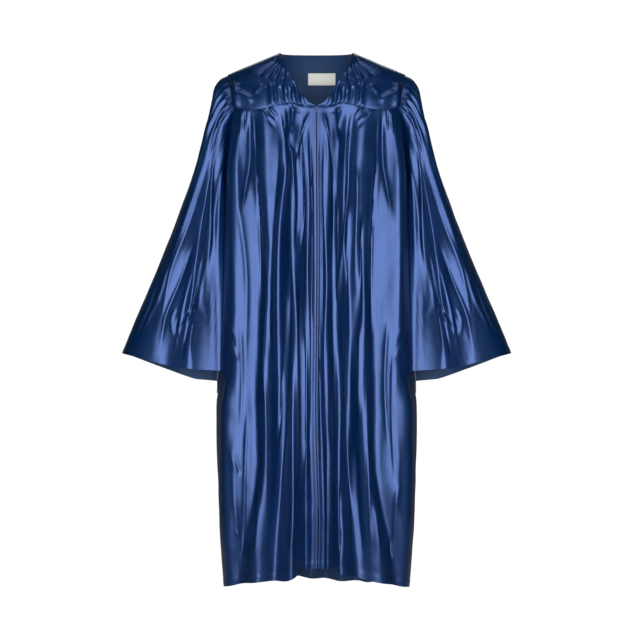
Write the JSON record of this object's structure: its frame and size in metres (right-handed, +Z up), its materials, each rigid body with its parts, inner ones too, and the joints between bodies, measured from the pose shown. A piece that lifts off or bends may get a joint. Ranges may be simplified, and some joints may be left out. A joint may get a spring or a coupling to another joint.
{
  "type": "graduation gown",
  "caption": "Calf-length satin graduation gown with V neck, yoke, pleated fronts, zip with a hinged pull tab, and wide bell sleeves, hollow as worn.",
  "frame": {"origin": "between the shoulders, in the plane of the shoulder seams, at the height of the neck points, where the wearer's shoulders carry the gown", "axes": "+Z up, the front faces -Y, +X to the right as seen from the front, towards the wearer's left"},
  "size_m": [0.836, 0.2612, 1.1563],
  "materials": {
    "satin": "shiny navy blue polyester satin",
    "zip_tape": "matt woven navy tape",
    "zip_metal": "navy lacquered die-cast metal",
    "label_cloth": "plain cream woven label, bare"
  },
  "bodies": {
    "gown": {"front_left": "satin", "front_right": "satin", "back": "satin", "yoke_front_left": "satin", "yoke_front_right": "satin", "yoke_back": "satin", "sleeve_left": "satin", "sleeve_right": "satin", "zip_tape_left": "zip_tape", "zip_tape_right": "zip_tape", "zip_slider": "zip_metal", "size_label": "label_cloth"},
    "pull_tab": {"zip_pull": "zip_metal"}
  },
  "joints": [
    {"name": "pull_tab_hinge", "type": "hinge", "parent": "gown", "child": "pull_tab", "pos_m": [0, -0.09648, -0.13187], "axis": [-1, 0, 0], "range_deg": [0, 150]}
  ]
}
